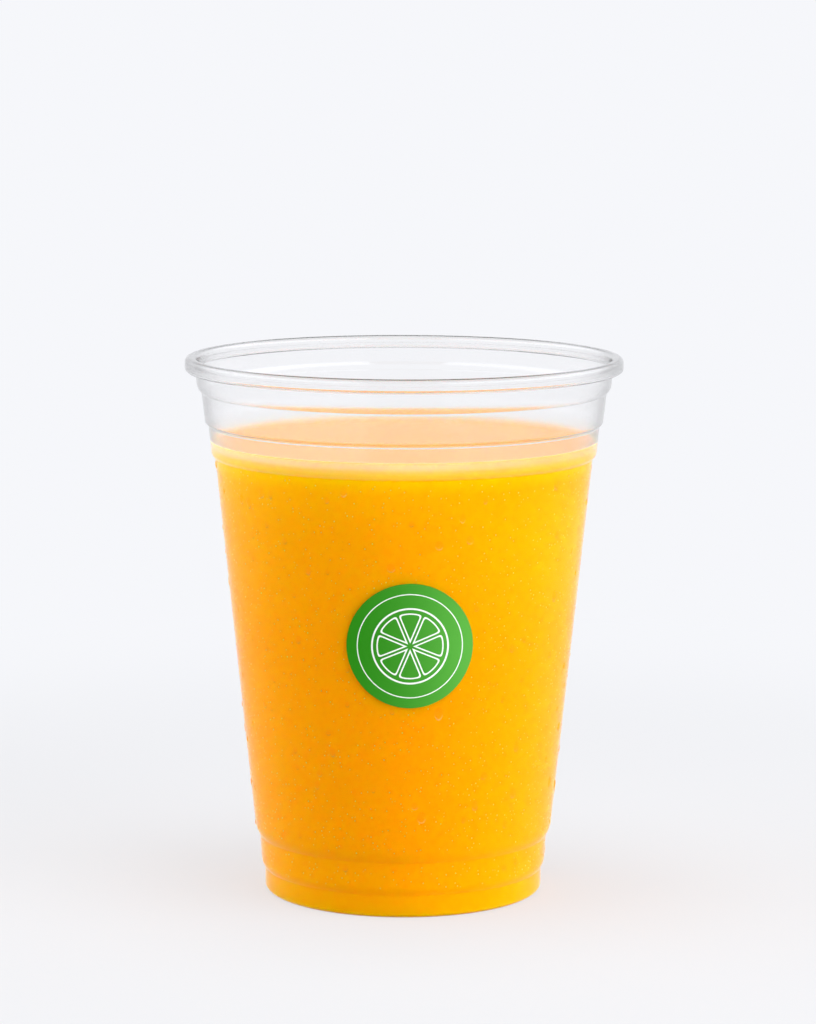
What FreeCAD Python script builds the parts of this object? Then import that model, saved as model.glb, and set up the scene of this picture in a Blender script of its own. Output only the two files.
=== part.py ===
"""A clear thermoformed cold-drink cup filled with orangeade, with a round sticker on its front.

Millimetres, +Z up. The origin is the middle of the foot, on the surface that the cup stands on,
and the front of the cup, with its sticker, faces -Y.
Three pieces: the cup, one thin sheet from its raised base to its curled lip; the drink, which
fills it up to the level; and the sticker, wrapped on the tapered wall.
"""

import FreeCAD
import Part

import math
import os

from FreeCAD import Vector

# The cup's sheet and its overall size.
sheet = 0.4
rim_radius = 49.1
cup_height = 121.4

# The base: a ring to stand on round a raised, slightly domed floor.
foot_radius = 31.4
foot_corner = 1.3
ring_width = 3.6
base_rise = 3.2
base_slope = 1.9
dome_rise = 0.5
dome_radius = 21.0
base_bend = 1.0

# Each ledge: its height, the wall's radius below it, how far it steps out, and its lean from upright.
# The lower two go with the foot, and the upper three, on which a stacked cup rests, with the rim.
ledges = [
    {"height": 5.1, "radius": foot_radius, "step": 0.75, "lean": 35},
    {"height": 12.6, "radius": foot_radius + 1.14, "step": 0.94, "lean": 35},
    {"height": cup_height - 22.6, "radius": rim_radius - 6.7, "step": 0.81, "lean": 57},
    {"height": cup_height - 15.4, "radius": rim_radius - 5.24, "step": 0.77, "lean": 46},
    {"height": cup_height - 8.0, "radius": rim_radius - 3.7, "step": 1.05, "lean": 47},
]
ledge_crease = 0.25
shoulder_fullness = 0.97

# The curl: the sheet turns over at the rim, comes down outside and tucks in towards the wall.
neck_flare = 0.1
curl_width = 2.4
curl_height = 3.2
curl_bend = 0.72
tuck_bend = 0.4
lip_gap = 0.75
lip_height = 1.1

# The drink, with the free space above it and the meniscus that climbs the wall.
free_space = 19.3
drink_level = cup_height - free_space
meniscus_climb = 0.7
meniscus_reach = 2.2

# The sticker: a flat disc of film wrapped on the wall between the second and third ledges.
sticker_diameter = 28.0
sticker_thickness = 0.15
sticker_height = 62.3
sticker_turn = 2.2


def bent(radius, height, bend=0.0):
    """A corner of a path in the half plane of the section, rounded by a bend."""
    return {"at": Vector(radius, 0, height), "bend": bend}


def ledge_corners(ledge):
    """The crease under a ledge and the corner of the shoulder above it."""
    top = ledge["height"] + ledge["step"] / math.tan(math.radians(ledge["lean"]))
    crease = bent(ledge["radius"], ledge["height"], ledge_crease)
    return [crease, bent(ledge["radius"] + ledge["step"], top)]


def half_angle(before, corner, after):
    """Half of the angle between the two runs that meet at a corner."""
    into = before["at"] - corner["at"]
    out = after["at"] - corner["at"]
    return into.getAngle(out) / 2


def round_shoulder(below, crease, shoulder, above):
    """A shoulder's bend takes up nearly all of the slope that the crease leaves it."""
    slope = (shoulder["at"] - crease["at"]).Length
    crease_reach = crease["bend"] / math.tan(half_angle(below, crease, shoulder))
    left = shoulder_fullness * (slope - crease_reach)
    shoulder["bend"] = left * math.tan(half_angle(crease, shoulder, above))


def base_corners():
    """The underside from the axis to the foot's outer corner."""
    ring_inside = foot_radius - foot_corner - ring_width
    floor_edge = ring_inside - base_slope
    return [
        bent(0, base_rise + dome_rise),
        bent(dome_radius, base_rise, base_bend),
        bent(floor_edge, base_rise, base_bend),
        bent(ring_inside, 0, base_bend),
        bent(foot_radius, 0, foot_corner),
    ]


def curl_corners():
    """From the neck over the top and round up to the lip, along the hollow of the curl."""
    neck = rim_radius - curl_width + neck_flare
    top = cup_height - sheet
    outside = rim_radius - sheet
    bottom = cup_height - curl_height + sheet
    return [
        bent(neck, top, curl_bend),
        bent(outside, top, curl_bend),
        bent(outside, bottom, tuck_bend),
        bent(neck + lip_gap, bottom, tuck_bend),
        bent(neck + lip_gap, bottom + lip_height),
    ]


def outer_skin():
    """The sheet's outer face as a path from the axis of the base to the lip."""
    base = base_corners()
    corners = list(base)
    for ledge in ledges:
        corners += ledge_corners(ledge)
    corners += curl_corners()
    for first in range(len(base), len(base) + 2 * len(ledges), 2):
        round_shoulder(*corners[first - 1 : first + 3])
    return corners


def left_of(direction):
    """The unit normal to the left of a direction in the half plane of the section."""
    return Vector(-direction.z, 0, direction.x).normalize()


def beside(corners, distance):
    """The parallel path at a distance to the left, with each bend changed to keep it parallel."""
    places = [corner["at"] for corner in corners]
    runs = [(end - start).normalize() for start, end in zip(places, places[1:])]
    moved = []
    for index, corner in enumerate(corners):
        before = runs[max(index - 1, 0)]
        after = runs[min(index, len(runs) - 1)]
        mitre = left_of(before) + left_of(after)
        shift = mitre * (2 * distance / mitre.dot(mitre))
        turns_left = before.z * after.x - before.x * after.z < 0
        grown = corner["bend"] + (-distance if turns_left else distance)
        bend = max(grown, 0.0) if corner["bend"] else 0.0
        place = corner["at"] + shift
        moved.append(bent(place.x, place.z, bend))
    return moved


def path_edges(corners):
    """Straight runs joined by tangent arcs at the bends."""
    edges = []
    start = corners[0]["at"]
    for before, corner, after in zip(corners, corners[1:], corners[2:]):
        into = (before["at"] - corner["at"]).normalize()
        out = (after["at"] - corner["at"]).normalize()
        if corner["bend"] == 0:
            edges.append(Part.LineSegment(start, corner["at"]).toShape())
            start = corner["at"]
            continue
        half = half_angle(before, corner, after)
        reach = corner["bend"] / math.tan(half)
        first = corner["at"] + into * reach
        last = corner["at"] + out * reach
        towards = (into + out).normalize()
        middle = corner["at"] + towards * (corner["bend"] / math.sin(half) - corner["bend"])
        edges.append(Part.LineSegment(start, first).toShape())
        edges.append(Part.Arc(first, middle, last).toShape())
        start = last
    edges.append(Part.LineSegment(start, corners[-1]["at"]).toShape())
    return edges


def turned(edges):
    """The solid that a closed outline in the half plane makes when it is turned about the axis."""
    outline = Part.Wire(Part.__sortEdges__(edges))
    return Part.Face(outline).revolve(Vector(0, 0, 0), Vector(0, 0, 1), 360)


def line(start, end):
    return Part.LineSegment(start, end).toShape()


def make_cup():
    """The sheet between its two parallel faces, closed at the axis and at the lip."""
    outer = outer_skin()
    inner = beside(outer, sheet)
    edges = path_edges(outer) + path_edges(inner)
    edges.append(line(outer[0]["at"], inner[0]["at"]))
    edges.append(line(outer[-1]["at"], inner[-1]["at"]))
    return turned(edges)


def wall_point(corners, height):
    """Where a path that climbs passes a height."""
    for start, end in zip(corners, corners[1:]):
        low, high = start["at"], end["at"]
        if low.z <= height < high.z:
            return low + (high - low) * ((height - low.z) / (high.z - low.z))
    raise ValueError(f"the wall doesn't reach a height of {height}")


def make_drink():
    """The liquid inside the cup's inner face, with a level top and a meniscus at the wall."""
    inner = beside(outer_skin(), sheet)
    contact = wall_point(inner, drink_level + meniscus_climb)
    wetted = [corner for corner in inner if corner["at"].z < contact.z]
    wetted.append(bent(contact.x, contact.z))
    arc_radius = (meniscus_reach**2 + meniscus_climb**2) / (2 * meniscus_climb)
    flat_edge = Vector(contact.x - meniscus_reach, 0, drink_level)
    half_turn = math.asin(meniscus_reach / arc_radius) / 2
    rise = arc_radius * (1 - math.cos(half_turn))
    middle = flat_edge + Vector(arc_radius * math.sin(half_turn), 0, rise)
    centre = Vector(0, 0, drink_level)
    edges = path_edges(wetted)
    edges.append(Part.Arc(contact, middle, flat_edge).toShape())
    edges.append(line(flat_edge, centre))
    edges.append(line(centre, inner[0]["at"]))
    return turned(edges)


def make_sticker():
    """A disc of film on the tapered wall, cut square to the wall at its middle."""
    outer = outer_skin()
    half_band = 0.6 * sticker_diameter
    low = wall_point(outer, sticker_height - half_band)
    high = wall_point(outer, sticker_height + half_band)
    middle = wall_point(outer, sticker_height)
    up = (high - low).normalize()
    out = -left_of(up)
    lift = out * sticker_thickness
    band = turned([
        line(low, high),
        line(high, high + lift),
        line(high + lift, low + lift),
        line(low + lift, low),
    ])
    tall = sticker_diameter / 2
    wide = middle.x * math.sin(tall / middle.x)
    sideways = up.cross(out)
    depth = 0.3 * middle.x
    near = middle - out * depth
    disc = Part.Ellipse(near + up * tall, near + sideways * wide, near).toShape()
    cutter = Part.Face(Part.Wire(disc)).extrude(out * 2 * depth)
    sticker = band.common(cutter)
    sticker.rotate(Vector(0, 0, 0), Vector(0, 0, 1), sticker_turn - 90)
    return sticker.Solids[0]


def main():
    pieces = {"cup": make_cup(), "drink": make_drink(), "sticker": make_sticker()}
    os.makedirs("parts", exist_ok=True)
    for name, shape in pieces.items():
        shape.exportStep(f"parts/{name}.step")
        box = shape.optimalBoundingBox(False)
        print(
            f"{name}: valid {shape.isValid()}, solids {len(shape.Solids)},"
            f" volume {shape.Volume / 1000:.2f} cm3,"
            f" height {box.ZMin:.2f} to {box.ZMax:.2f}, width {box.XLength:.2f}"
        )


main()
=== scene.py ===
import math

import bpy
import numpy as np
from mathutils import Matrix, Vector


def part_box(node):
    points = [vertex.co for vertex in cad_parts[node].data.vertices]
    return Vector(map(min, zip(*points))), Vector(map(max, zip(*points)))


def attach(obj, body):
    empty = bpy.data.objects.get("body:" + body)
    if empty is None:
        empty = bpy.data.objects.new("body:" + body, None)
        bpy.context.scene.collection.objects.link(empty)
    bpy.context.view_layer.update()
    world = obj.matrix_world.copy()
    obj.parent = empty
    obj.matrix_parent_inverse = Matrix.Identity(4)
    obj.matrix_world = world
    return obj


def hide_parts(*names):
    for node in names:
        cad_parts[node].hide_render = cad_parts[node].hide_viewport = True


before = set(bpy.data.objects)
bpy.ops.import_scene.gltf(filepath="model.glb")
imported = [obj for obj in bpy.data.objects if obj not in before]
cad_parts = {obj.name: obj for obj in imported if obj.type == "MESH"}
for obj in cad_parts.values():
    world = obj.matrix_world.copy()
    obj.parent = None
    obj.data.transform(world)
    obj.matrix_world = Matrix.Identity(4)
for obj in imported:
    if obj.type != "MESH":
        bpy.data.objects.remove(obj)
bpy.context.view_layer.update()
mm = 0.001
tiny = 1e-6


# ---- small helpers ----

def clearSelection():
    if bpy.context.object and bpy.context.object.mode != "OBJECT":
        bpy.ops.object.mode_set(mode="OBJECT")
    bpy.ops.object.select_all(action="DESELECT")


def applyPlace(piece):
    clearSelection()
    piece.select_set(True)
    bpy.context.view_layer.objects.active = piece
    bpy.ops.object.transform_apply(location=True, rotation=True, scale=True)


def joinPiece(piece, slot, *nodes):
    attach(piece, "root")
    if nodes:
        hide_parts(*nodes)


# ---- the cup's section, in millimetres, as (radius, height, bend) corners ----

cupLow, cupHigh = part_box("cup")

cup = {
    "rimRadius": min(-cupLow[0], -cupLow[1], cupHigh[0], cupHigh[1]) / mm,
    "height": cupHigh[2] / mm,
    "footRadius": 31.4,
    "footCorner": 1.3,
    "ringWidth": 3.6,
    "baseRise": 3.2,
    "baseSlope": 1.9,
    "domeRise": 0.5,
    "domeRadius": 21.0,
    "baseBend": 1.0,
    "crease": 0.25,
    "shoulderFullness": 0.97,
    # height, wall radius below, step out, lean from upright
    "lowLedges": [(5.1, 31.4, 0.75, 35), (12.6, 32.54, 0.94, 35)],
    # the same, with the height measured down from the rim and the radius inwards from it
    "highLedges": [(22.6, 6.7, 0.81, 57), (15.4, 5.24, 0.77, 46), (8.0, 3.7, 1.05, 47)],
    "sharpLedge": 3,
    "sharpFullness": 0.4,
    "neckInset": 2.3,
    "curlHeight": 3.2,
    "curlBend": 0.72,
    "tuckBend": 0.4,
    "lipGap": 0.75,
    "lipHeight": 1.1,
    "sheet": 0.4,
    "footAt": 4,  # the foot's own corner, from which the wall climbs
    "bendStep": 9,
    "longRun": 1.2,
    "loopInset": 0.25,
    "weld": 0.002,
    "smoothUpTo": 45,
    "steps": 224,
}


def ledgeList():
    ledges = list(cup["lowLedges"])
    for down, inwards, step, lean in cup["highLedges"]:
        ledges.append((cup["height"] - down, cup["rimRadius"] - inwards, step, lean))
    return ledges


def turnAt(before, corner, after):
    ax, az = corner[0] - before[0], corner[1] - before[1]
    bx, bz = after[0] - corner[0], after[1] - corner[1]
    return math.atan2(ax * bz - az * bx, ax * bx + az * bz)


def outerCorners():
    ringInside = cup["footRadius"] - cup["footCorner"] - cup["ringWidth"]
    corners = [
        [0.0, cup["baseRise"] + cup["domeRise"], 0.0],
        [cup["domeRadius"], cup["baseRise"], cup["baseBend"]],
        [ringInside - cup["baseSlope"], cup["baseRise"], cup["baseBend"]],
        [ringInside, 0.0, cup["baseBend"]],
        [cup["footRadius"], 0.0, cup["footCorner"]],
    ]
    shoulders = []
    for height, radius, step, lean in ledgeList():
        corners.append([radius, height, cup["crease"]])
        shoulders.append(len(corners))
        corners.append([radius + step, height + step / math.tan(math.radians(lean)), 0.0])
    neck = cup["rimRadius"] - cup["neckInset"]
    outside = cup["rimRadius"] - cup["sheet"]
    top = cup["height"] - cup["sheet"]
    bottom = cup["height"] - cup["curlHeight"] + cup["sheet"]
    corners += [
        [neck, top, cup["curlBend"]],
        [outside, top, cup["curlBend"]],
        [outside, bottom, cup["tuckBend"]],
        [neck + cup["lipGap"], bottom, cup["tuckBend"]],
        [neck + cup["lipGap"], bottom + cup["lipHeight"], 0.0],
    ]
    for ledge, i in enumerate(shoulders):  # a full round shoulder up to the crease below it
        below, crease, shoulder, above = corners[i - 2:i + 2]
        slope = math.dist(crease[:2], shoulder[:2])
        reach = crease[2] * math.tan(abs(turnAt(below, crease, shoulder)) / 2)
        fullness = cup["sharpFullness" if ledge == cup["sharpLedge"] else "shoulderFullness"]
        left = fullness * (slope - reach)
        shoulder[2] = left / math.tan(abs(turnAt(crease, shoulder, above)) / 2)
    return corners


def shifted(corners, distance):
    # the parallel section, towards the inside of the cup
    moved = []
    for i, corner in enumerate(corners):
        runs = []
        for a, b in ((i - 1, i), (i, i + 1)):
            if a >= 0 and b < len(corners):
                dx, dz = corners[b][0] - corners[a][0], corners[b][1] - corners[a][1]
                long = math.hypot(dx, dz)
                runs.append((-dz / long, dx / long))
        nx, nz = runs[0][0] + runs[-1][0], runs[0][1] + runs[-1][1]
        k = 2 * distance / (nx * nx + nz * nz)
        turn = 0.0
        if 0 < i < len(corners) - 1:
            turn = turnAt(corners[i - 1], corner, corners[i + 1])
        bend = max(corner[2] + (-distance if turn > 0 else distance), 0.0) if corner[2] else 0.0
        moved.append([corner[0] + nx * k, corner[1] + nz * k, bend])
    return moved


def sectionPoints(corners):
    points = [tuple(corners[0][:2])]
    bendStep = math.radians(cup["bendStep"])

    def runTo(x, z):
        px, pz = points[-1]
        long = math.hypot(x - px, z - pz)
        if long > cup["longRun"]:  # edge loops near both ends keep a straight wall's shading even
            inset = cup["loopInset"] / long
            for t in (inset, 1 - inset):
                points.append((px + (x - px) * t, pz + (z - pz) * t))
        if long > 100 * tiny:
            points.append((x, z))

    for before, corner, after in zip(corners, corners[1:], corners[2:]):
        turn = turnAt(before, corner, after)
        if corner[2] < tiny or abs(turn) < tiny:
            runTo(corner[0], corner[1])
            continue
        reach = corner[2] * math.tan(abs(turn) / 2)
        ux, uz = corner[0] - before[0], corner[1] - before[1]
        long = math.hypot(ux, uz)
        ux, uz = ux / long, uz / long
        runTo(corner[0] - ux * reach, corner[1] - uz * reach)
        px, pz = points[-1]
        side = 1 if turn > 0 else -1
        cx, cz = px - uz * corner[2] * side, pz + ux * corner[2] * side
        count = max(2, math.ceil(abs(turn) / bendStep))
        for k in range(1, count + 1):
            a = turn * k / count
            dx, dz = px - cx, pz - cz
            points.append((
                cx + dx * math.cos(a) - dz * math.sin(a),
                cz + dx * math.sin(a) + dz * math.cos(a),
            ))
    runTo(*corners[-1][:2])
    return points


def spinSection(name, points, steps):
    # a single vertex is drawn out along the section, and the section is spun about the axis
    clearSelection()
    startX, startZ = points[0]
    bpy.ops.mesh.primitive_plane_add(size=10 * mm, location=(startX * mm, 0, startZ * mm))
    piece = bpy.context.object
    piece.name = piece.data.name = name
    bpy.ops.object.mode_set(mode="EDIT")
    bpy.ops.mesh.select_mode(type="VERT")
    bpy.ops.mesh.select_all(action="SELECT")
    bpy.ops.mesh.merge(type="CENTER")
    for (ax, az), (bx, bz) in zip(points, points[1:]):
        bpy.ops.mesh.extrude_vertices_move(
            TRANSFORM_OT_translate={"value": ((bx - ax) * mm, 0, (bz - az) * mm)}
        )
    bpy.ops.mesh.select_all(action="SELECT")
    bpy.ops.mesh.spin(steps=steps, angle=2 * math.pi, center=(0, 0, 0), axis=(0, 0, 1))
    bpy.ops.mesh.select_all(action="SELECT")
    bpy.ops.mesh.remove_doubles(threshold=cup["weld"] * mm)
    bpy.ops.mesh.select_all(action="SELECT")
    bpy.ops.mesh.normals_make_consistent(inside=False)
    bpy.ops.object.mode_set(mode="OBJECT")
    applyPlace(piece)
    bpy.ops.object.shade_smooth()
    return piece


def wallRadiusAt(corners, height):
    wall = corners[cup["footAt"]:]
    for a, b in zip(wall, wall[1:]):
        if a[1] <= height < b[1]:
            return a[0] + (b[0] - a[0]) * (height - a[1]) / (b[1] - a[1])
    raise ValueError(f"the wall has no radius at a height of {height}")


def makeCup():
    outer = outerCorners()
    inner = shifted(outer, cup["sheet"])
    section = sectionPoints(outer) + sectionPoints(inner)[::-1]
    piece = spinSection("clearCup", section, cup["steps"])
    bpy.ops.object.shade_smooth_by_angle(angle=math.radians(cup["smoothUpTo"]))
    joinPiece(piece, "cup", "cup")
    print("cup spun:", len(piece.data.polygons), "faces")
    return piece


# ---- the drink ----

drink = {
    "intoWall": 0.12,
    "level": 102.1,
    "climb": 0.7,
    "reach": 2.2,
    "climbSteps": 10,
    "topRings": (36, 28, 20, 12, 5, 0),
    "footBend": 0.5,
    "curlStart": 4.5,  # inwards from the rim, so that the curl's corners are left out
    "smoothUpTo": 35,
    "steps": 192,
}


def makeDrink():
    wetted = shifted(outerCorners(), cup["sheet"] - drink["intoWall"])
    wetted[cup["footAt"]][2] = drink["footBend"]
    contactHeight = drink["level"] + drink["climb"]
    inside = cup["rimRadius"] - drink["curlStart"]
    below = [c for c in wetted if c[1] < contactHeight and c[0] < inside]
    contact = wallRadiusAt(wetted, contactHeight)
    section = sectionPoints(below + [[contact, contactHeight, 0.0]])
    curve = (drink["reach"] ** 2 + drink["climb"] ** 2) / (2 * drink["climb"])
    flatEdge = contact - drink["reach"]
    whole = math.asin(drink["reach"] / curve)
    for k in reversed(range(drink["climbSteps"])):  # the meniscus, from the wall to the level top
        a = whole * k / drink["climbSteps"]
        section.append((
            flatEdge + curve * math.sin(a),
            drink["level"] + curve * (1 - math.cos(a)),
        ))
    for radius in drink["topRings"]:
        section.append((radius, drink["level"]))
    piece = spinSection("drinkBody", section, drink["steps"])
    bpy.ops.object.shade_smooth_by_angle(angle=math.radians(drink["smoothUpTo"]))
    joinPiece(piece, "drink", "drink")
    print("drink spun:", len(piece.data.polygons), "faces")
    return piece


# ---- the sticker ----

sticker = {
    "diameter": 28.0,
    "thickness": 0.15,
    "height": 62.3,
    "turn": 2.2,
    "lift": 0.005,
    "leanReach": 10,  # the wall's lean is taken this far below and above the middle
    "rings": 10,
    "points": 128,
    "smoothUpTo": 40,
}


def makeSticker():
    clearSelection()
    half = sticker["diameter"] / 2
    bpy.ops.mesh.primitive_circle_add(vertices=sticker["points"], radius=half * mm)
    piece = bpy.context.object
    piece.name = piece.data.name = "roundSticker"
    bpy.ops.object.mode_set(mode="EDIT")
    bpy.ops.mesh.select_all(action="SELECT")
    for ring in range(sticker["rings"] - 1, 0, -1):
        k = ring / (ring + 1)
        bpy.ops.mesh.extrude_region_move()
        bpy.ops.transform.resize(value=(k, k, k))
    bpy.ops.mesh.extrude_region_move()
    bpy.ops.mesh.merge(type="CENTER")
    bpy.ops.object.mode_set(mode="OBJECT")
    # the print's own map, taken while the sticker is still flat
    layer = piece.data.uv_layers.new(name="printMap")
    for loop in piece.data.loops:
        at = piece.data.vertices[loop.vertex_index].co
        layer.data[loop.index].uv = (at.x / (half * mm), at.y / (half * mm))
    # wrapped on the tapered wall
    corners = outerCorners()
    low = wallRadiusAt(corners, sticker["height"] - sticker["leanReach"])
    high = wallRadiusAt(corners, sticker["height"] + sticker["leanReach"])
    middle = wallRadiusAt(corners, sticker["height"])
    lean = math.atan((high - low) / (2 * sticker["leanReach"]))
    wide = math.sin(half / middle) * middle / half
    for vertex in piece.data.vertices:
        x, y = vertex.co.x / mm * wide, vertex.co.y / mm
        z = sticker["height"] + y * math.cos(lean)
        r = middle + y * math.sin(lean) + sticker["lift"]
        vertex.co = (x * mm, -math.sqrt(r * r - x * x) * mm, z * mm)
    piece.rotation_euler = (0, 0, math.radians(sticker["turn"]))
    applyPlace(piece)
    bpy.ops.object.mode_set(mode="EDIT")
    bpy.ops.mesh.select_all(action="SELECT")
    bpy.ops.mesh.normals_make_consistent(inside=False)
    bpy.ops.object.mode_set(mode="OBJECT")
    if piece.data.polygons[0].normal.y > 0:
        piece.data.flip_normals()
    film = piece.modifiers.new("film", "SOLIDIFY")
    film.thickness = sticker["thickness"] * mm
    film.offset = 1
    bpy.ops.object.modifier_apply(modifier="film")
    bpy.ops.object.shade_smooth_by_angle(angle=math.radians(sticker["smoothUpTo"]))
    joinPiece(piece, "sticker", "sticker")
    print("sticker wrapped:", len(piece.data.polygons), "faces")
    return piece


# ---- condensation ----

dew = {
    "seed": 41,
    "low": 6.6,
    "high": 98.2,
    "bandTop": 12.2,
    "wallStart": 14.6,
    "stickerClear": 0.5,
    "press": 0.03,
    "cell": 1.2,
    "triesEach": 6,
    "smallBias": 1.8,  # above 1, small drops outnumber large ones
    "slopeStep": 0.1,
    # kind: count, smallest and largest radius, gap to the next, height over radius,
    # longest stretch downwards, sides and rings
    "kinds": {
        "beads": (170, 0.45, 1.0, 0.6, 0.26, 1.6, 14, 3),
        "dew": (3600, 0.09, 0.19, 0.4, 0.34, 1.2, 7, 2),
        "mist": (11000, 0.11, 0.21, 0.2, 0.4, 1.1, 6, 1),
    },
    # kind: clearness, depth of the dark upper edge, strength of the light lower edge, roughness; the
    # dark upper edge is painted shade, and the light lower edge and the pale share left where a drop
    # is not fully clear are painted light
    "looks": {
        "beads": (0.998, 0.4, 0.35, 0.15),
        "dew": (0.94, 0.0, 0.2, 0.28),
        "mist": (0.99, 0.3, 0.05, 0.15),
    },
    # the pale colour of the drops' diffuse share, painted light for their highlights, and then the
    # painted shade of their upper edge
    "colour": (1, 0.84, 0.45, 1),
    "paintedUpperShade": (0.93, 0.62, 0.3, 1),
    "edgeFrom": 0.62,
    "gloss": 0.4,
    "index": 1.1,
}


def makeDropShape(sides, rings):
    # one drop of unit size, open where it sits on the wall; its points and faces are then copied
    clearSelection()
    bpy.ops.mesh.primitive_uv_sphere_add(segments=sides, ring_count=2 * rings, radius=1)
    drop = bpy.context.object
    bpy.ops.object.mode_set(mode="EDIT")
    bpy.ops.mesh.select_all(action="SELECT")
    bpy.ops.mesh.bisect(plane_co=(0, 0, 0), plane_no=(0, 0, 1), clear_inner=True)
    bpy.ops.object.mode_set(mode="OBJECT")
    points = np.array([vertex.co for vertex in drop.data.vertices])
    faces = [tuple(polygon.vertices) for polygon in drop.data.polygons]
    bpy.ops.object.delete()
    return points, faces


class Spots:
    # keeps the drops apart from one another and off the sticker
    def __init__(self, corners):
        self.cell = dew["cell"]
        self.held = {}
        self.corners = corners
        self.middle = wallRadiusAt(corners, sticker["height"])

    def tryAt(self, across, height, radius, gap):
        stickerAcross = math.radians(sticker["turn"]) * self.middle
        out = sticker["diameter"] / 2 + dew["stickerClear"] + radius
        if math.hypot(across - stickerAcross, height - sticker["height"]) < out:
            return False
        cx, cy = int(across // self.cell), int(height // self.cell)
        for i in range(cx - 2, cx + 3):
            for j in range(cy - 2, cy + 3):
                for x, y, r in self.held.get((i, j), ()):
                    if math.hypot(x - across, y - height) < r + radius + gap:
                        return False
        self.held.setdefault((cx, cy), []).append((across, height, radius))
        return True


def placeDrops(name, drops, shape, corners):
    # drops holds azimuth, height, width, length and rise of each
    points, faces = shape
    slopes = {}
    step = dew["slopeStep"]
    verts = np.empty((len(drops) * len(points), 3))
    for n, (azimuth, height, wide, tall, rise) in enumerate(drops):
        key = round(height, 1)
        if key not in slopes:
            low = wallRadiusAt(corners, key - step / 2)
            high = wallRadiusAt(corners, key + step / 2)
            slopes[key] = math.atan((high - low) / step)
        lean = slopes[key]
        r = wallRadiusAt(corners, height) - dew["press"]
        s, c = math.sin(azimuth), math.cos(azimuth)
        out = np.array((s * math.cos(lean), -c * math.cos(lean), -math.sin(lean)))
        up = np.array((s * math.sin(lean), -c * math.sin(lean), math.cos(lean)))
        side = np.array((c, s, 0.0))
        place = np.array((r * s, -r * c, height))
        verts[n * len(points):(n + 1) * len(points)] = (
            place
            + points[:, :1] * wide * side
            + points[:, 1:2] * tall * up
            + points[:, 2:] * rise * out
        )
    allFaces = []
    for n in range(len(drops)):
        start = n * len(points)
        allFaces += [tuple(i + start for i in face) for face in faces]
    mesh = bpy.data.meshes.new(name)
    mesh.from_pydata((verts * mm).tolist(), [], allFaces)
    mesh.validate()
    # each drop's own map, seen from straight in front of it
    flat = np.array([points[i][:2] for face in faces for i in face])
    dropMap = mesh.uv_layers.new(name="dropMap")
    dropMap.data.foreach_set("uv", np.tile(flat, (len(drops), 1)).ravel())
    piece = bpy.data.objects.new(name, mesh)
    bpy.context.scene.collection.objects.link(piece)
    clearSelection()
    piece.select_set(True)
    bpy.context.view_layer.objects.active = piece
    bpy.ops.object.shade_smooth()
    joinPiece(piece, "cup")
    print(name, len(drops), "drops,", sum(len(f) - 2 for f in allFaces), "triangles")
    return piece


def makeCondensation():
    corners = outerCorners()
    spots = Spots(corners)
    draw = np.random.default_rng(dew["seed"])
    for kind, values in dew["kinds"].items():
        count, small, large, gap, rise, longest, sides, rings = values
        drops = []
        tries = 0
        while len(drops) < count and tries < count * dew["triesEach"]:
            tries += 1
            height = draw.uniform(dew["low"], dew["high"])
            azimuth = draw.uniform(-math.pi, math.pi)
            radius = small + (large - small) * draw.random() ** dew["smallBias"]
            stretch = draw.uniform(1.0, longest)
            if dew["bandTop"] < height + radius and height - radius < dew["wallStart"]:
                continue
            wall = wallRadiusAt(corners, height)
            if spots.tryAt(azimuth * wall, height, radius, gap):
                drops.append((azimuth, height, radius, radius * stretch, radius * rise))
        piece = placeDrops(kind, drops, makeDropShape(sides, rings), corners)
        piece.data.materials.append(makeWater(kind + "Water", *dew["looks"][kind]))


# ---- materials ----

def newMaterial(name):
    material = bpy.data.materials.new(name)
    material.use_nodes = True
    tree = material.node_tree
    shader = next(n for n in tree.nodes if n.type == "BSDF_PRINCIPLED")
    return material, tree, shader


def addNode(tree, kind, **values):
    node = tree.nodes.new(kind)
    for key, value in values.items():
        setattr(node, key, value)
    return node


def mathNode(tree, operation, first, second=None, third=None):
    node = addNode(tree, "ShaderNodeMath", operation=operation)
    for i, value in enumerate((first, second, third)):
        if value is None:
            continue
        if isinstance(value, (int, float)):
            node.inputs[i].default_value = value
        else:
            tree.links.new(value, node.inputs[i])
    return node.outputs[0]


def colourMix(tree, factor, first, second):
    node = addNode(tree, "ShaderNodeMix", data_type="RGBA")
    sockets = [s for s in node.inputs if s.enabled]
    for socket, value in zip(sockets, (factor, first, second)):
        if isinstance(value, bpy.types.NodeSocket):
            tree.links.new(value, socket)
        else:
            socket.default_value = value
    return next(s for s in node.outputs if s.enabled)


def noiseNode(tree, place, scale, detail):
    noise = addNode(tree, "ShaderNodeTexNoise")
    noise.inputs["Scale"].default_value = scale
    noise.inputs["Detail"].default_value = detail
    tree.links.new(place, noise.inputs["Vector"])
    return noise.outputs["Fac"]


def fadeNode(tree, value, limits, ends=(0.0, 1.0), kind="SMOOTHSTEP"):
    fade = addNode(tree, "ShaderNodeMapRange", interpolation_type=kind)
    for socket, number in zip(fade.inputs[1:5], (*limits, *ends)):
        socket.default_value = number
    tree.links.new(value, fade.inputs[0])
    return fade.outputs[0]


def splitNode(tree, place):
    split = addNode(tree, "ShaderNodeSeparateXYZ")
    tree.links.new(place, split.inputs[0])
    return split.outputs


def lengthNode(tree, place):
    length = addNode(tree, "ShaderNodeVectorMath", operation="LENGTH")
    tree.links.new(place, length.inputs[0])
    return length.outputs["Value"]


def scaledColour(tree, colour, level):
    scaled = addNode(tree, "ShaderNodeVectorMath", operation="SCALE")
    tree.links.new(colour, scaled.inputs[0])
    tree.links.new(level, scaled.inputs["Scale"])
    return scaled.outputs[0]


def timesVector(tree, colour, share):
    product = addNode(tree, "ShaderNodeVectorMath", operation="MULTIPLY")
    product.inputs[1].default_value = share
    tree.links.new(colour, product.inputs[0])
    return product.outputs[0]


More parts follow.
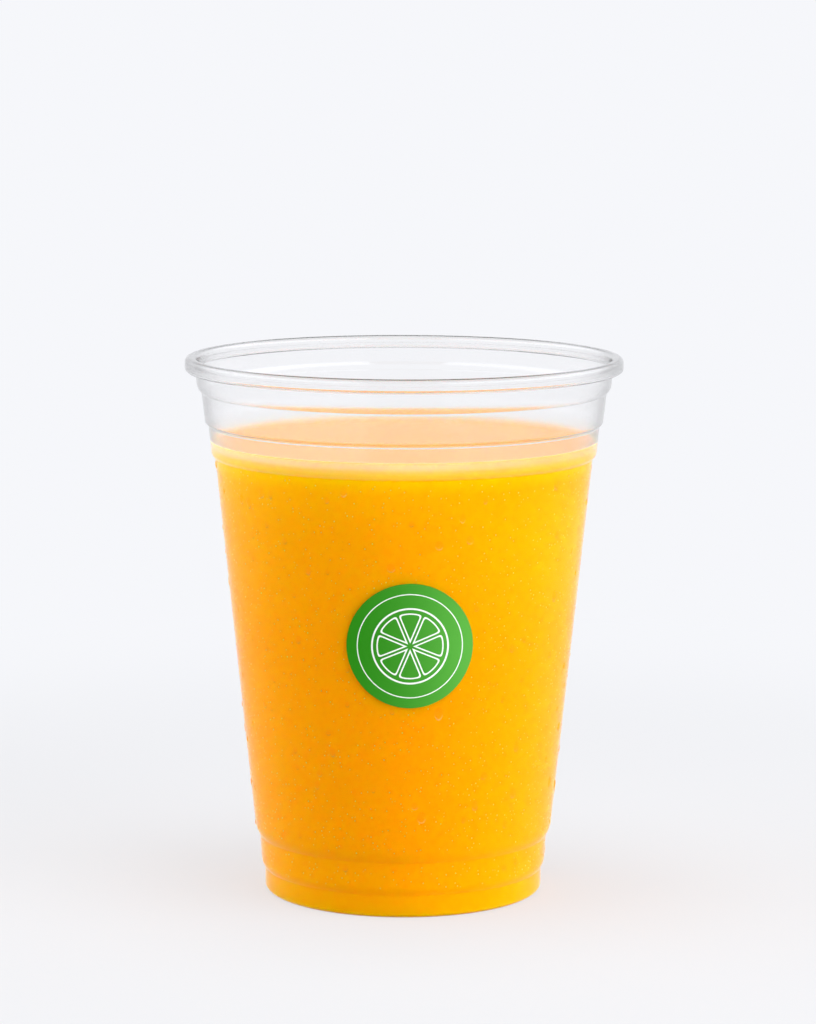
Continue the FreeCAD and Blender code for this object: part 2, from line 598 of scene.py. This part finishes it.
def bumpShader(tree, shader, height, strength, distance):
    bump = addNode(tree, "ShaderNodeBump")
    bump.inputs["Strength"].default_value = strength
    bump.inputs["Distance"].default_value = distance
    tree.links.new(height, bump.inputs["Height"])
    tree.links.new(bump.outputs[0], shader.inputs["Normal"])


def grey(level):
    return (level, level, level, 1)


def outputOf(tree):
    return next(n for n in tree.nodes if n.type == "OUTPUT_MATERIAL")


def lampsPass(tree, shader):
    # lamp light goes straight through the clear wall and the water, without caustic noise, and
    # light caught inside the sheet comes out again
    path = addNode(tree, "ShaderNodeLightPath")
    clear = addNode(tree, "ShaderNodeBsdfTransparent")
    share = mathNode(tree, "MAXIMUM", path.outputs["Is Shadow Ray"], path.outputs["Is Diffuse Ray"])
    caught = mathNode(tree, "GREATER_THAN", path.outputs["Ray Depth"], clearPlastic["caughtAfter"])
    share = mathNode(tree, "MAXIMUM", share, caught)
    mix = addNode(tree, "ShaderNodeMixShader")
    tree.links.new(share, mix.inputs[0])
    tree.links.new(shader.outputs[0], mix.inputs[1])
    tree.links.new(clear.outputs[0], mix.inputs[2])
    tree.links.new(mix.outputs[0], outputOf(tree).inputs["Surface"])


clearPlastic = {
    "colour": (0.999, 0.999, 0.999, 1),
    "dewTop": 98.9,
    "caughtAfter": 12,
    # roughness, index, share of the mirror gloss left by the mist, and depth of the fine relief
    "dry": (0.11, 1.5, 1.0, 0.00001),
    "dewed": (0.1, 1.15, 0.05, 0.00003),
    # scale and detail
    "grain": (1900, 3),
    "waves": (60, 1),
    "grainInRelief": 0.02,
    "reliefStrength": 0.35,
}


def makeClearPlastic(name, roughness, index, gloss, relief):
    material, tree, shader = newMaterial(name)
    shader.inputs["Base Color"].default_value = clearPlastic["colour"]
    shader.inputs["IOR"].default_value = index
    shader.inputs["Specular Tint"].default_value = grey(gloss)
    shader.inputs["Transmission Weight"].default_value = 1
    place = addNode(tree, "ShaderNodeTexCoord").outputs["Object"]
    grain = noiseNode(tree, place, *clearPlastic["grain"])
    rough = mathNode(tree, "MULTIPLY_ADD", grain, roughness, roughness / 2)
    tree.links.new(rough, shader.inputs["Roughness"])
    # very slight waves of the drawn sheet
    waves = noiseNode(tree, place, *clearPlastic["waves"])
    height = mathNode(tree, "MULTIPLY_ADD", grain, clearPlastic["grainInRelief"], waves)
    bumpShader(tree, shader, height, clearPlastic["reliefStrength"], relief)
    lampsPass(tree, shader)
    return material


def paintCup(piece):
    piece.data.materials.clear()
    piece.data.materials.append(makeClearPlastic("dryPlastic", *clearPlastic["dry"]))
    piece.data.materials.append(makeClearPlastic("dewedPlastic", *clearPlastic["dewed"]))
    for polygon in piece.data.polygons:
        polygon.material_index = int(polygon.center.z < clearPlastic["dewTop"] * mm)


def makeWater(name, clearness, shade, paintedGlint, roughness):
    # a drop turns the light over: its upper edge is dark and its lower edge light, painted into its
    # colour and clearness as painted shade above and painted light below
    material, tree, shader = newMaterial(name)
    uv = addNode(tree, "ShaderNodeUVMap", uv_map="dropMap").outputs[0]
    edge = fadeNode(tree, lengthNode(tree, uv), (dew["edgeFrom"], 1.0))
    up = mathNode(tree, "MULTIPLY", splitNode(tree, uv)["Y"], edge)
    # painted shade on the upper edge, and painted light on the lower edge
    dark = mathNode(tree, "MULTIPLY", mathNode(tree, "MAXIMUM", up, 0.0), shade)
    light = mathNode(tree, "MINIMUM", up, 0.0)
    colour = colourMix(tree, dark, dew["colour"], dew["paintedUpperShade"])
    tree.links.new(colour, shader.inputs["Base Color"])
    clear = mathNode(tree, "MULTIPLY_ADD", light, paintedGlint, clearness)
    tree.links.new(clear, shader.inputs["Transmission Weight"])
    shader.inputs["IOR"].default_value = dew["index"]
    shader.inputs["Specular Tint"].default_value = grey(dew["gloss"])
    shader.inputs["Roughness"].default_value = roughness
    lampsPass(tree, shader)
    return material


orangeade = {
    # height and colour, from the foot up to the pale band under the surface; the pale band is
    # painted light, standing in for light that enters through the drink's top
    "bands": [
        (0.0, (0.97, 0.385, 0.0)),
        (20.0, (0.97, 0.365, 0.0)),
        (60.0, (0.97, 0.355, 0.0)),
        (86.0, (0.97, 0.395, 0.0)),
        (95.7, (0.98, 0.45, 0.0)),
        (98.8, (0.98, 0.60, 0.0)),
        (100.0, (0.98, 0.60, 0.01)),
        (100.8, (0.98, 0.61, 0.10)),
        (101.5, (0.98, 0.64, 0.31)),
        (102.3, (0.98, 0.61, 0.34)),
        (102.8, (0.94, 0.42, 0.16)),
    ],
    "top": (0.99, 0.385, 0.03, 1),
    "topEdgePaintedLight": (0.99, 0.58, 0.32, 1),
    # painted shade: towards the right, where the right lamp falls, the upper part is a darker orange
    # that tones down that lamp's light
    "paintedShade": (1.0, 0.71, 0.5),
    "paintedShadeAcross": (-0.005, 0.036),
    "paintedShadeUp": (0.082, 0.103),
    "edge": (0.040, 0.0445),
    "scatter": 0.007,
    "radius": (1.0, 0.30, 0.05),
    # scale and detail
    "mottle": (1400, 3),
    "cloud": (90, 4),
    "swirl": (45, 4),
    "cloudShare": 0.5,
    "mottleDepth": 0.008,
    "swirlDepth": 0.16,
    # roughness and index
    "bodyGloss": (0.3, 1.1),
    "topGloss": (0.08, 1.11),
    "topFrom": 0.1,
}


def bandRamp(tree, heightSocket, bands):
    ramp = addNode(tree, "ShaderNodeValToRGB")
    last = bands[-1][0]
    while len(ramp.color_ramp.elements) < len(bands):
        ramp.color_ramp.elements.new(0.5)
    for element, (height, colour) in zip(ramp.color_ramp.elements, bands):
        element.position = height / last
        element.color = (*colour, 1)
    fraction = mathNode(tree, "DIVIDE", heightSocket, last * mm)
    tree.links.new(fraction, ramp.inputs[0])
    return ramp.outputs["Color"]


def makeCloudy(shader, scatter, roughness, index):
    shader.subsurface_method = "RANDOM_WALK"
    shader.inputs["Subsurface Weight"].default_value = 1
    shader.inputs["Subsurface Scale"].default_value = scatter
    shader.inputs["Subsurface Radius"].default_value = orangeade["radius"]
    shader.inputs["Roughness"].default_value = roughness
    shader.inputs["IOR"].default_value = index


def makeOrangeade():
    material, tree, shader = newMaterial("orangeade")
    place = addNode(tree, "ShaderNodeTexCoord").outputs["Object"]
    at = splitNode(tree, place)
    # the height ramp, with the painted light of the pale band under the surface
    colour = bandRamp(tree, at["Z"], orangeade["bands"])
    # light gathered by the dew gives the drink a fine mottle
    mottle = noiseNode(tree, place, *orangeade["mottle"])
    cloud = noiseNode(tree, place, *orangeade["cloud"])
    both = mathNode(tree, "MULTIPLY_ADD", cloud, orangeade["cloudShare"], mottle)
    depth = orangeade["mottleDepth"]
    level = mathNode(tree, "MULTIPLY_ADD", both, 2 * depth, 1 - 1.5 * depth)
    # painted shade on the upper right of the drink
    across = fadeNode(tree, at["X"], orangeade["paintedShadeAcross"])
    up = fadeNode(tree, at["Z"], orangeade["paintedShadeUp"])
    paintedShade = timesVector(tree, colour, orangeade["paintedShade"])
    colour = colourMix(tree, mathNode(tree, "MULTIPLY", across, up), colour, paintedShade)
    tree.links.new(scaledColour(tree, colour, level), shader.inputs["Base Color"])
    makeCloudy(shader, orangeade["scatter"], *orangeade["bodyGloss"])
    return material


def makeDrinkTop():
    material, tree, shader = newMaterial("drinkTop")
    place = addNode(tree, "ShaderNodeTexCoord").outputs["Object"]
    swirl = noiseNode(tree, place, *orangeade["swirl"])
    depth = orangeade["swirlDepth"]
    level = mathNode(tree, "MULTIPLY_ADD", swirl, depth, 1 - depth / 2)
    # painted light: paler towards the wall, where the meniscus climbs it, matching the painted pale
    # band under the surface
    outwards = lengthNode(tree, timesVector(tree, place, (1, 1, 0)))
    edge = fadeNode(tree, outwards, orangeade["edge"])
    colour = colourMix(tree, edge, orangeade["top"], orangeade["topEdgePaintedLight"])
    tree.links.new(scaledColour(tree, colour, level), shader.inputs["Base Color"])
    makeCloudy(shader, orangeade["scatter"] / 3, *orangeade["topGloss"])
    return material


def paintDrink(piece):
    piece.data.materials.clear()
    piece.data.materials.append(makeOrangeade())
    piece.data.materials.append(makeDrinkTop())
    for polygon in piece.data.polygons:
        upwards = polygon.normal.z > 0.5
        polygon.material_index = int(upwards and polygon.center.z > orangeade["topFrom"])


stickerPrint = {
    "greenDeep": (0.017, 0.235, 0.003),
    # the print's green with painted light, used towards the right
    "greenPaintedLight": (0.095, 0.38, 0.052),
    "white": (0.86, 0.90, 0.86),
    "segments": 8,
    # radius and width, as shares of the sticker's radius
    "rings": [(0.83, 0.016), (0.60, 0.028)],
    "fleshEdge": 0.53,
    "gap": 0.035,
    "line": 0.022,
    "roundness": 0.07,
    # the green's lightness at the left edge and at the right, and how it bends between them: painted
    # light, standing in for the right lamp's sheen on the print
    "paintedLightLeft": 0.04,
    "paintedLightRight": 1.0,
    "paintedLightBend": 1.5,
    "fibres": (14, 3),
    "fibreShare": 0.08,
    "relief": (60, 2),
    "reliefStrength": 0.15,
    "reliefDepth": 0.00003,
    "roughness": 0.42,
    "gloss": 0.1,
}


def makeStickerPrint():
    # a citrus wheel in white lines on green
    material, tree, shader = newMaterial("stickerPrint")
    uv = addNode(tree, "ShaderNodeUVMap", uv_map="printMap").outputs[0]
    at = splitNode(tree, uv)
    u, v = at["X"], at["Y"]
    r = lengthNode(tree, uv)
    half = math.pi / stickerPrint["segments"]
    folded = mathNode(tree, "PINGPONG", mathNode(tree, "ARCTAN2", v, u), half)
    along = mathNode(tree, "MULTIPLY", r, mathNode(tree, "COSINE", folded))
    across = mathNode(tree, "MULTIPLY", r, mathNode(tree, "SINE", folded))
    sideGap = mathNode(
        tree, "SUBTRACT",
        mathNode(tree, "MULTIPLY", along, math.sin(half)),
        mathNode(tree, "MULTIPLY", across, math.cos(half)),
    )
    sideGap = mathNode(tree, "SUBTRACT", sideGap, stickerPrint["gap"] / 2)
    outGap = mathNode(tree, "SUBTRACT", stickerPrint["fleshEdge"], r)
    inside = mathNode(tree, "SMOOTH_MIN", sideGap, outGap, stickerPrint["roundness"])
    edge = mathNode(tree, "ABSOLUTE", mathNode(tree, "SUBTRACT", inside, stickerPrint["line"] / 2))
    marks = mathNode(tree, "LESS_THAN", edge, stickerPrint["line"] / 2)
    for radius, width in stickerPrint["rings"]:
        off = mathNode(tree, "ABSOLUTE", mathNode(tree, "SUBTRACT", r, radius))
        ring = mathNode(tree, "LESS_THAN", off, width / 2)
        marks = mathNode(tree, "MAXIMUM", marks, ring)
    # the green grows lighter from left to right: painted light of the right lamp's sheen, laid over
    # the print's own green
    left, right = stickerPrint["paintedLightLeft"], stickerPrint["paintedLightRight"]
    light = mathNode(tree, "MULTIPLY_ADD", u, (right - left) / 2, (right + left) / 2)
    shade = mathNode(tree, "POWER", light, stickerPrint["paintedLightBend"])
    fibres = noiseNode(tree, uv, *stickerPrint["fibres"])
    shade = mathNode(tree, "MULTIPLY_ADD", fibres, stickerPrint["fibreShare"], shade)
    green = colourMix(
        tree, shade, (*stickerPrint["greenDeep"], 1), (*stickerPrint["greenPaintedLight"], 1)
    )
    ink = colourMix(tree, marks, green, (*stickerPrint["white"], 1))
    tree.links.new(ink, shader.inputs["Base Color"])
    shader.inputs["Roughness"].default_value = stickerPrint["roughness"]
    shader.inputs["Specular IOR Level"].default_value = stickerPrint["gloss"]
    relief = noiseNode(tree, uv, *stickerPrint["relief"])
    strength, depth = stickerPrint["reliefStrength"], stickerPrint["reliefDepth"]
    bumpShader(tree, shader, relief, strength, depth)
    return material


def paintSticker(piece):
    piece.data.materials.clear()
    piece.data.materials.append(makeStickerPrint())


# ---- floor, lamps and camera ----

studio = {
    "white": (0.922, 0.930, 0.962, 1),
    "floorColour": (0.662, 0.67, 0.69, 1),
    "bounceColour": (0.22, 0.22, 0.22, 1),
    "floorRoughness": 0.9,
    "floorRadius": 0.62,
    "floorSides": 96,
    # the floor fades into the white from one distance to another, and is partly white from the start
    "fade": (0.13, 0.36),
    "fadeStart": 0.62,
    "worldLevel": 0.34,
    "floorLevel": 0.55,
    "panelFoot": 0.005,
    # azimuth from the front, width and height of the panel, distance, radiance
    "rightPanel": (60, 1.4, 0.52, 1.0, 7.5),
    "leftPanel": (-88, 1.4, 0.52, 1.0, 4.75),
    # side and height of the soft lamp overhead, and its radiance
    "topPanel": (1.2, 1.5, 2.9),
    # what gloss and clear edges see, as azimuth from the front and level: the table, and soft
    # boxes above it from one height to another
    "table": [
        (-180, 0.95), (-168, 0.95), (-150, 0.88), (-70, 0.88), (-30, 0.9),
        (30, 0.9), (70, 0.88), (150, 0.88), (168, 0.95), (180, 0.95),
    ],
    "boxesFrom": (0.16, 0.4),
    "boxes": [
        (-180, 0.6), (-166, 0.6), (-150, 1.1), (-110, 2.2), (-28, 2.2), (-24, (0.5, 0.38, 0.28)),
        (20, (0.5, 0.38, 0.28)), (24, 2.5), (110, 2.5), (150, 1.1), (166, 0.6), (180, 0.6),
    ],
    "boxesTo": (0.55, 0.8),
    "overhead": 0.95,
    "bounces": 32,
    "clearBounces": 24,
}


def makeFloor():
    clearSelection()
    bpy.ops.mesh.primitive_circle_add(
        vertices=studio["floorSides"], radius=studio["floorRadius"], fill_type="NGON"
    )
    floor = bpy.context.object
    floor.name = floor.data.name = "paleFloor"
    material, tree, shader = newMaterial("paleFloor")
    path = addNode(tree, "ShaderNodeLightPath")
    seen = mathNode(
        tree, "MAXIMUM", path.outputs["Is Camera Ray"], path.outputs["Is Transmission Ray"]
    )
    colour = colourMix(tree, seen, studio["bounceColour"], studio["floorColour"])
    tree.links.new(colour, shader.inputs["Base Color"])
    shader.inputs["Roughness"].default_value = studio["floorRoughness"]
    shader.inputs["Specular IOR Level"].default_value = 0.0
    far = lengthNode(tree, addNode(tree, "ShaderNodeTexCoord").outputs["Object"])
    fade = fadeNode(tree, far, studio["fade"], (studio["fadeStart"], 1.0), "SMOOTHERSTEP")
    beyond = addNode(tree, "ShaderNodeEmission")
    white = colourMix(tree, seen, grey(studio["floorLevel"]), studio["white"])
    tree.links.new(white, beyond.inputs["Color"])
    mix = addNode(tree, "ShaderNodeMixShader")
    tree.links.new(fade, mix.inputs[0])
    tree.links.new(shader.outputs[0], mix.inputs[1])
    tree.links.new(beyond.outputs[0], mix.inputs[2])
    tree.links.new(mix.outputs[0], outputOf(tree).inputs["Surface"])
    floor.data.materials.append(material)
    floor.visible_glossy = False
    return floor


def makePanel(name, azimuth, wide, tall, distance, radiance):
    clearSelection()
    a = math.radians(azimuth)
    bpy.ops.object.light_add(
        type="AREA",
        location=(distance * math.sin(a), -distance * math.cos(a), tall / 2 + studio["panelFoot"]),
        rotation=(math.radians(90), 0, a),
    )
    lamp = bpy.context.object
    lamp.name = name
    lamp.data.shape = "RECTANGLE"
    lamp.data.size = wide
    lamp.data.size_y = tall
    lamp.data.energy = radiance * math.pi * wide * tall
    lamp.visible_glossy = lamp.visible_transmission = False
    return lamp


def makeTopPanel(side, height, radiance):
    clearSelection()
    bpy.ops.object.light_add(type="AREA", location=(0, 0, height))
    lamp = bpy.context.object
    lamp.name = "topPanel"
    lamp.data.shape = "SQUARE"
    lamp.data.size = side
    lamp.data.energy = radiance * math.pi * side * side
    lamp.visible_glossy = lamp.visible_transmission = False
    return lamp


def turnRamp(tree, turn, stops):
    ramp = addNode(tree, "ShaderNodeValToRGB")
    while len(ramp.color_ramp.elements) < len(stops):
        ramp.color_ramp.elements.new(0.5)
    for element, (azimuth, level) in zip(ramp.color_ramp.elements, stops):
        element.position = azimuth / 360 + 0.5
        colour = level
        if not isinstance(level, tuple):
            colour = [level * v / studio["white"][2] for v in studio["white"][:3]]
        element.color = (*colour, 1)
    tree.links.new(turn, ramp.inputs[0])
    return ramp.outputs["Color"]


def makeWorld():
    world = bpy.data.worlds.new("studioWorld")
    bpy.context.scene.world = world
    world.use_nodes = True
    tree = world.node_tree
    tree.nodes.clear()
    output = addNode(tree, "ShaderNodeOutputWorld")
    path = addNode(tree, "ShaderNodeLightPath")
    lit = addNode(tree, "ShaderNodeBackground")
    lit.inputs["Color"].default_value = (1, 1, 1, 1)
    lit.inputs["Strength"].default_value = studio["worldLevel"]
    shown = addNode(tree, "ShaderNodeBackground")
    shown.inputs["Color"].default_value = studio["white"]
    # gloss and clear edges see soft boxes at both sides, and a dark gap between them at the front
    towards = splitNode(tree, addNode(tree, "ShaderNodeTexCoord").outputs["Generated"])
    front = mathNode(tree, "MULTIPLY", towards["Y"], -1)
    turn = mathNode(tree, "ARCTAN2", towards["X"], front)
    turn = mathNode(tree, "MULTIPLY_ADD", turn, 1 / (2 * math.pi), 0.5)
    above = turnRamp(tree, turn, studio["boxes"])
    table = turnRamp(tree, turn, studio["table"])
    level = fadeNode(tree, towards["Z"], studio["boxesFrom"])
    high = fadeNode(tree, towards["Z"], studio["boxesTo"])
    upper = colourMix(tree, high, above, grey(studio["overhead"]))
    soft = addNode(tree, "ShaderNodeBackground")
    tree.links.new(colourMix(tree, level, table, upper), soft.inputs["Color"])
    clear = mathNode(
        tree, "MAXIMUM", path.outputs["Is Glossy Ray"], path.outputs["Is Transmission Ray"]
    )
    gloss = addNode(tree, "ShaderNodeMixShader")
    tree.links.new(clear, gloss.inputs[0])
    tree.links.new(lit.outputs[0], gloss.inputs[1])
    tree.links.new(soft.outputs[0], gloss.inputs[2])
    mix = addNode(tree, "ShaderNodeMixShader")
    tree.links.new(path.outputs["Is Camera Ray"], mix.inputs[0])
    tree.links.new(gloss.outputs[0], mix.inputs[1])
    tree.links.new(shown.outputs[0], mix.inputs[2])
    tree.links.new(mix.outputs[0], output.inputs[0])


view = {
    "place": (0.00094, -0.87736, 0.213235),
    "pitch": 8.247,
    "roll": 0.15,
    "lens": 138.35,
    "sensor": 36,
    "clipStart": 0.01,
}


def makeCamera():
    data = bpy.data.cameras.new("camera")
    camera = bpy.data.objects.new("camera", data)
    bpy.context.scene.collection.objects.link(camera)
    data.sensor_width = view["sensor"]
    data.lens = view["lens"]
    data.clip_start = view["clipStart"]
    tilt = Matrix.Rotation(math.radians(90 - view["pitch"]), 4, "X")
    roll = Matrix.Rotation(math.radians(view["roll"]), 4, "Z")
    camera.rotation_euler = (tilt @ roll).to_euler()
    camera.location = view["place"]
    bpy.context.scene.camera = camera


bpy.context.scene.view_settings.view_transform = "Standard"
makeCamera()
makeWorld()
makeFloor()
makePanel("rightPanel", *studio["rightPanel"])
makePanel("leftPanel", *studio["leftPanel"])
makeTopPanel(*studio["topPanel"])
bpy.context.scene.cycles.max_bounces = studio["bounces"]
bpy.context.scene.cycles.transmission_bounces = studio["bounces"]
bpy.context.scene.cycles.transparent_max_bounces = studio["clearBounces"]
print("studio ready")

paintCup(makeCup())
paintDrink(makeDrink())
paintSticker(makeSticker())
makeCondensation()
print("materials ready")
